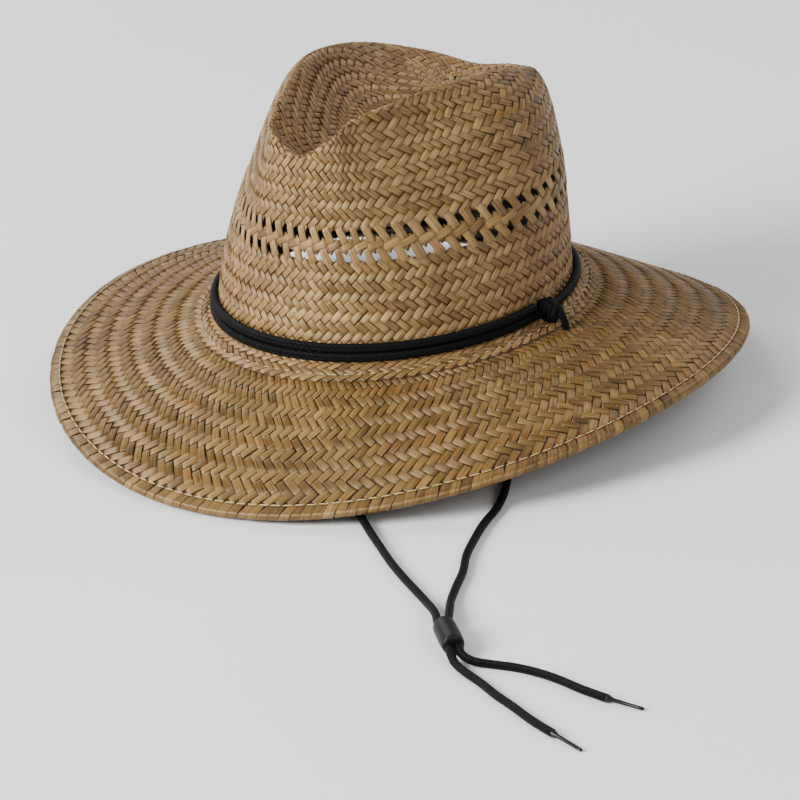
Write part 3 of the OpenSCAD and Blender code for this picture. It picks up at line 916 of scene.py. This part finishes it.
def ramp(tree, value, stops):
    node = tree.nodes.new("ShaderNodeValToRGB")
    for element, (place, colour) in zip(node.color_ramp.elements, (stops[0], stops[-1])):
        element.position, element.color = place, (*colour, 1)
    for place, colour in stops[1:-1]:
        node.color_ramp.elements.new(place).color = (*colour, 1)
    tree.links.new(value, node.inputs["Fac"])
    return node.outputs["Color"]


def bump(tree, height, strength, distance):
    node = tree.nodes.new("ShaderNodeBump")
    node.inputs["Strength"].default_value = strength
    node.inputs["Distance"].default_value = distance
    tree.links.new(height, node.inputs["Height"])
    return node.outputs["Normal"]


def new_group(name, inputs, outputs):
    group = bpy.data.node_groups.new(name, "ShaderNodeTree")
    for label, kind in inputs:
        group.interface.new_socket(label, in_out="INPUT", socket_type=kind)
    for label, kind in outputs:
        group.interface.new_socket(label, in_out="OUTPUT", socket_type=kind)
    return group, group.nodes.new("NodeGroupInput"), group.nodes.new("NodeGroupOutput")


def make_fibre_group():
    """Lines along a straw, splits in it, and the shade of the whole straw, darker where the straw dips:
    painted shade where it goes under its neighbours.
    """
    group, given, out = new_group(
        "straw_fibre",
        [("Strip", "NodeSocketVector"), ("Place", "NodeSocketVector"), ("Tone", "NodeSocketFloat"),
         ("Depth", "NodeSocketFloat"), ("Contrast", "NodeSocketFloat")],
        [("Shade", "NodeSocketFloat"), ("Height", "NodeSocketFloat"), ("Roughness", "NodeSocketFloat")])
    strip = given.outputs["Strip"]
    fine = noise(group, scaled(group, strip, (0.9, 34, 1)), 1.0, 2.0)
    broad = noise(group, scaled(group, strip, (0.5, 9, 1)), 1.0, 1.0)
    split = noise(group, scaled(group, strip, (0.35, 22, 1)), 1.0, 0.0)
    split = math_node(group, "MULTIPLY", math_node(group, "SUBTRACT", split, 0.66), 9.0, clamp=True)
    wide = noise(group, given.outputs["Place"], 22.0, 2.0)
    shade = 0.55
    for value, share in ((fine, 0.85), (broad, 0.75), (wide, 0.5),
                         (given.outputs["Tone"], given.outputs["Contrast"])):
        swing = math_node(group, "MULTIPLY", math_node(group, "SUBTRACT", value, 0.5), share)
        shade = math_node(group, "ADD", shade, swing)
    # Darker with depth: painted shade where a float's ends and sides dip under its neighbours.
    shade = math_node(group, "SUBTRACT", shade, math_node(group, "MULTIPLY", given.outputs["Depth"], 0.42))
    shade = math_node(group, "SUBTRACT", shade, math_node(group, "MULTIPLY", split, 0.35), clamp=True)
    height = math_node(group, "SUBTRACT", math_node(group, "ADD", fine, broad),
                       math_node(group, "MULTIPLY", split, 0.8))
    rough = math_node(group, "ADD", math_node(group, "MULTIPLY", fine, 0.22), 0.42)
    for label, value in (("Shade", shade), ("Height", height), ("Roughness", rough)):
        group.links.new(value, out.inputs[label])
    return group


def attribute(tree, name):
    node = tree.nodes.new("ShaderNodeAttribute")
    node.attribute_name = name
    return node.outputs["Fac"]


def uv_of(tree, name):
    node = tree.nodes.new("ShaderNodeUVMap")
    node.uv_map = name
    return node.outputs["UV"]


def object_place(tree):
    return tree.nodes.new("ShaderNodeTexCoord").outputs["Object"]


def straw_material(name, group, shades):
    """shades runs from the darkest straw to the lightest."""
    material, tree, shader = new_material(name)
    fibre = tree.nodes.new("ShaderNodeGroup")
    fibre.node_tree = group
    tree.links.new(uv_of(tree, "strip"), fibre.inputs["Strip"])
    tree.links.new(object_place(tree), fibre.inputs["Place"])
    tree.links.new(attribute(tree, "tone"), fibre.inputs["Tone"])
    tree.links.new(attribute(tree, "depth"), fibre.inputs["Depth"])
    fibre.inputs["Contrast"].default_value = 0.7
    stops = [(k / (len(shades) - 1), shade) for k, shade in enumerate(shades)]
    tree.links.new(ramp(tree, fibre.outputs["Shade"], stops), shader.inputs["Base Color"])
    tree.links.new(fibre.outputs["Roughness"], shader.inputs["Roughness"])
    tree.links.new(bump(tree, fibre.outputs["Height"], 0.45, 0.00012), shader.inputs["Normal"])
    shader.inputs["IOR"].default_value = 1.55
    shader.inputs["Specular IOR Level"].default_value = 0.8
    shader.inputs["Specular Tint"].default_value = (1.0, 0.79, 0.5, 1)
    shader.inputs["Anisotropic"].default_value = 0.85
    shader.inputs["Anisotropic Rotation"].default_value = 0.25
    tangent = tree.nodes.new("ShaderNodeTangent")
    tangent.direction_type, tangent.uv_map = "UV_MAP", "strip"
    tree.links.new(tangent.outputs["Tangent"], shader.inputs["Tangent"])
    return material


def backing_material(name, dark, light):
    """The straw's underlayer, coloured darker than the straw: painted shade in the gaps between the floats,
    over the real shadow there, and on the crown's inside and the brim's underside, which it also forms.
    """
    material, tree, shader = new_material(name)
    place = object_place(tree)
    mottled = noise(tree, place, 260.0, 3.0)
    tree.links.new(ramp(tree, mottled, [(0.3, dark), (0.7, light)]), shader.inputs["Base Color"])
    tree.links.new(bump(tree, mottled, 0.5, 0.0004), shader.inputs["Normal"])
    shader.inputs["Roughness"].default_value = 0.75
    return material


BRAID_STRANDS, BRAID_PITCH = 8.0, 0.32


def braid_material(name, dark, light):
    """Two sets of strands that cross round a cord, their pitch in centimetres."""
    material, tree, shader = new_material(name)
    split = tree.nodes.new("ShaderNodeSeparateXYZ")
    tree.links.new(uv_of(tree, "cord"), split.inputs[0])
    around = math_node(tree, "MULTIPLY", split.outputs["X"], BRAID_STRANDS)
    along = math_node(tree, "DIVIDE", split.outputs["Y"], BRAID_PITCH)
    one = math_node(tree, "PINGPONG", math_node(tree, "ADD", around, along), 0.5)
    other = math_node(tree, "PINGPONG", math_node(tree, "SUBTRACT", around, along), 0.5)
    height = math_node(tree, "ADD", one, other)
    fuzz = noise(tree, object_place(tree), 2600.0, 2.0)
    # The colour follows the braid's height, darker in the grooves between the strands: painted shade.
    shade = math_node(tree, "ADD", math_node(tree, "MULTIPLY", height, 0.7),
                      math_node(tree, "MULTIPLY", fuzz, 0.3))
    tree.links.new(ramp(tree, shade, [(0.15, dark), (0.95, light)]), shader.inputs["Base Color"])
    tree.links.new(bump(tree, shade, 0.8, 0.0006), shader.inputs["Normal"])
    shader.inputs["Roughness"].default_value = 0.55
    shader.inputs["Specular IOR Level"].default_value = 0.08
    return material


def thread_material(name, dark, light):
    """Twisted cotton."""
    material, tree, shader = new_material(name)
    ply = noise(tree, scaled(tree, uv_of(tree, "strip"), (9, 26, 1)), 1.0, 1.0)
    tree.links.new(ramp(tree, ply, [(0.3, dark), (0.65, light)]), shader.inputs["Base Color"])
    tree.links.new(bump(tree, ply, 0.5, 0.0002), shader.inputs["Normal"])
    shader.inputs["Roughness"].default_value = 0.6
    return material


def cloth_material(name, dark, light):
    material, tree, shader = new_material(name)
    place = object_place(tree)
    wave = tree.nodes.new("ShaderNodeTexWave")
    wave.bands_direction = "Z"
    wave.inputs["Scale"].default_value = 420.0
    wave.inputs["Distortion"].default_value = 1.2
    tree.links.new(place, wave.inputs["Vector"])
    weft = noise(tree, place, 1500.0, 2.0)
    shade = math_node(tree, "MULTIPLY", math_node(tree, "ADD", wave.outputs["Fac"], weft), 0.5)
    tree.links.new(ramp(tree, shade, [(0.25, dark), (0.75, light)]), shader.inputs["Base Color"])
    tree.links.new(bump(tree, shade, 0.5, 0.0003), shader.inputs["Normal"])
    shader.inputs["Roughness"].default_value = 0.8
    shader.inputs["Sheen Weight"].default_value = 0.3
    return material


def plastic_material(name, dark, light, rough):
    material, tree, shader = new_material(name)
    place = object_place(tree)
    grain = noise(tree, place, 900.0, 3.0)
    tree.links.new(ramp(tree, grain, [(0.3, dark), (0.7, light)]), shader.inputs["Base Color"])
    worn = math_node(tree, "MULTIPLY", noise(tree, place, 140.0, 2.0), 0.16)
    tree.links.new(math_node(tree, "ADD", worn, rough), shader.inputs["Roughness"])
    tree.links.new(bump(tree, grain, 0.15, 0.0001), shader.inputs["Normal"])
    shader.inputs["Specular IOR Level"].default_value = 0.22
    return material


def wire_material(name):
    material, tree, shader = new_material(name)
    drawn = noise(tree, object_place(tree), 700.0, 2.0)
    greys = ramp(tree, drawn, [(0.3, (0.42, 0.42, 0.43)), (0.7, (0.6, 0.6, 0.6))])
    tree.links.new(greys, shader.inputs["Base Color"])
    shader.inputs["Metallic"].default_value = 1.0
    shader.inputs["Roughness"].default_value = 0.35
    return material


def give(material, slot, *pieces):
    for piece in pieces:
        piece.data.materials.clear()
        piece.data.materials.append(material)


# ---------------------------------------------------------------- floor and lights

def make_floor():
    deselect()
    bpy.ops.mesh.primitive_plane_add(size=16, location=(0, 0, 0))
    floor = bpy.context.active_object
    floor.name = "floor"
    material, tree, shader = new_material("floor_paper")
    tree.links.new(ramp(tree, noise(tree, object_place(tree), 3.0, 2.0),
                        [(0.3, (0.86, 0.86, 0.86)), (0.7, (0.9, 0.9, 0.9))]), shader.inputs["Base Color"])
    shader.inputs["Roughness"].default_value = 0.9
    floor.data.materials.append(material)


def make_light(name, azimuth, elevation, distance, size, power):
    a, e = math.radians(azimuth), math.radians(elevation)
    away = Vector((math.sin(a) * math.cos(e), -math.cos(a) * math.cos(e), math.sin(e)))
    data = bpy.data.lights.new(name, "AREA")
    data.shape, data.size, data.energy = "DISK", size, power
    lamp = bpy.data.objects.new(name, data)
    bpy.context.scene.collection.objects.link(lamp)
    lamp.location = away * distance + Vector((0, 0, 0.08))
    lamp.rotation_euler = away.to_track_quat("Z", "Y").to_euler()


def make_lights():
    make_light("key", -26, 28, 2.6, 1.3, 143)
    make_light("side", 72, 30, 2.6, 1.6, 24)
    make_light("left", -115, 36, 2.6, 1.6, 28)
    make_light("back", 165, 34, 2.6, 1.6, 20)
    world = bpy.data.worlds.new("room")
    world.use_nodes = True
    world.node_tree.nodes["Background"].inputs["Color"].default_value = (1, 1, 1, 1)
    world.node_tree.nodes["Background"].inputs["Strength"].default_value = 0.34
    bpy.context.scene.world = world


# ---------------------------------------------------------------- the hat

set_camera()
chin_cords = (make_chin_cord("left", ROUTE_LEFT, TAIL_LEFT, TIP_END_LEFT, BORE_OFFSET)
              + make_chin_cord("right", ROUTE_RIGHT, TAIL_RIGHT, TIP_END_RIGHT, -BORE_OFFSET))
hat_cords = make_hat_cords()
knots = [make_ear_knot("left", 1), make_ear_knot("right", -1)]
slider = make_slider()

crown_shell, crown_weaves = make_crown()
vent_band = make_vent_band()
brim_shell, brim_floats = make_brim()
rim = make_rim()
edge_thread, flange_thread, band_thread = make_all_stitches()
sweatband = make_sweatband()

strands_and_tails = [p for p in chin_cords if "tip" not in p.name]
tips = [p for p in chin_cords if "tip" in p.name]
fibre = make_fibre_group()
crown_straw = straw_material("crown_straw", fibre, [(0.027, 0.011, 0.0026), (0.1035, 0.051, 0.0146),
                                                   (0.22, 0.124, 0.043), (0.34, 0.212, 0.087)])
brim_straw = straw_material("brim_straw", fibre, [(0.0213, 0.009, 0.002), (0.0776, 0.0372, 0.0088),
                                                 (0.1649, 0.0866, 0.0234), (0.285, 0.168, 0.0555)])
black_cord = braid_material("black_cord", (0.0009, 0.0009, 0.0009), (0.0075, 0.008, 0.0084))
pale_thread = thread_material("pale_thread", (0.26, 0.18, 0.07), (0.56, 0.44, 0.22))
# The underlayers are darker than the straws over them: painted shade for the gaps, the crown's inside and the
# brim's underside.
crown_underlayer = backing_material("crown_underlayer", (0.045, 0.024, 0.009), (0.11, 0.062, 0.026))
brim_underlayer = backing_material("brim_underlayer", (0.035, 0.018, 0.006), (0.085, 0.045, 0.017))
dark_thread = thread_material("dark_thread", (0.02, 0.02, 0.02), (0.06, 0.06, 0.06))
cotton = cloth_material("sweatband_cotton", (0.010, 0.010, 0.011), (0.030, 0.029, 0.028))
tip_gloss = plastic_material("tip_gloss", (0.006, 0.006, 0.006), (0.012, 0.012, 0.012), 0.18)
slider_satin = plastic_material("slider_satin", (0.002, 0.002, 0.0022), (0.004, 0.004, 0.0043), 0.42)
give(crown_underlayer, "crown_straw", crown_shell)
give(brim_underlayer, "brim_straw", brim_shell)
give(crown_straw, "crown_straw", *crown_weaves, vent_band)
give(brim_straw, "brim_straw", brim_floats, rim)
give(pale_thread, "thread", edge_thread, flange_thread)
give(dark_thread, "sweatband_thread", band_thread)
give(cotton, "sweatband_cloth", sweatband)
give(black_cord, "black_cord", *hat_cords, *knots, *strands_and_tails)
give(tip_gloss, "tip_plastic", *tips)
give(slider_satin, "slider_plastic", slider)
give(wire_material("bright_wire"), "wire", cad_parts["brim_wire"])

for piece in (crown_shell, *crown_weaves, vent_band, brim_shell, brim_floats, rim, edge_thread, flange_thread,
              band_thread, sweatband, *hat_cords, *knots, *tips):
    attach(piece, "hat")

make_floor()
make_lights()
